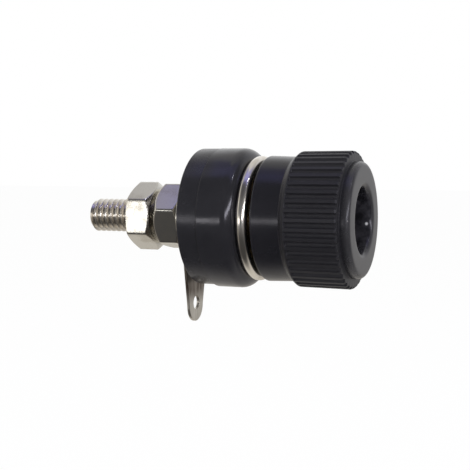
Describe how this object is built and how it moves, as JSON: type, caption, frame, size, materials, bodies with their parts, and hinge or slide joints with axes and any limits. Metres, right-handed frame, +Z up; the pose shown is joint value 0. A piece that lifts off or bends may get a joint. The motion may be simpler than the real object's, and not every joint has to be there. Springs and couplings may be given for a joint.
{
  "type": "banana socket binding post",
  "caption": "Insulated panel binding post: ribbed screw cap over a socket for a banana plug, round insulating bushes, threaded rear stud with hex nuts and a solder lug.",
  "frame": {"origin": "on the post's axis, in the plane where the front bush seats on the panel's front face", "axes": "+X along the post towards the cap and plug side, +Z up with the solder lug hanging towards -Z"},
  "size_m": [0.0339, 0.0162, 0.0205],
  "materials": {
    "nickel_post": "nickel plated, polished",
    "nickel_hardware": "nickel plated, slightly dulled",
    "tinned_lug": "tin plated, satin",
    "brass_insert": "bare, turned",
    "gloss_bush": "glossy moulded black",
    "satin_cap": "satin moulded black"
  },
  "bodies": {
    "base": {"post": "nickel_post", "front_bush": "gloss_bush", "rear_bush": "gloss_bush", "flat_washer": "nickel_hardware", "solder_lug": "tinned_lug", "lock_washer": "nickel_hardware", "mounting_nut": "nickel_hardware", "terminal_nut": "nickel_hardware"},
    "insert": {"cap_insert": "brass_insert"},
    "cap": {"cap": "satin_cap"}
  },
  "joints": [
    {"name": "cap_travel", "type": "slide", "parent": "base", "child": "insert", "axis": [1, 0, 0], "range_m": [0, 0.005]},
    {"name": "cap_turn", "type": "hinge", "parent": "insert", "child": "cap", "pos_m": [0.0115, 0, 0], "axis": [1, 0, 0], "range_deg": [0, 1800]}
  ],
  "couplings": [
    {"joint": "cap_turn", "follows": "cap_travel", "rad_per_m": 6283.2}
  ]
}
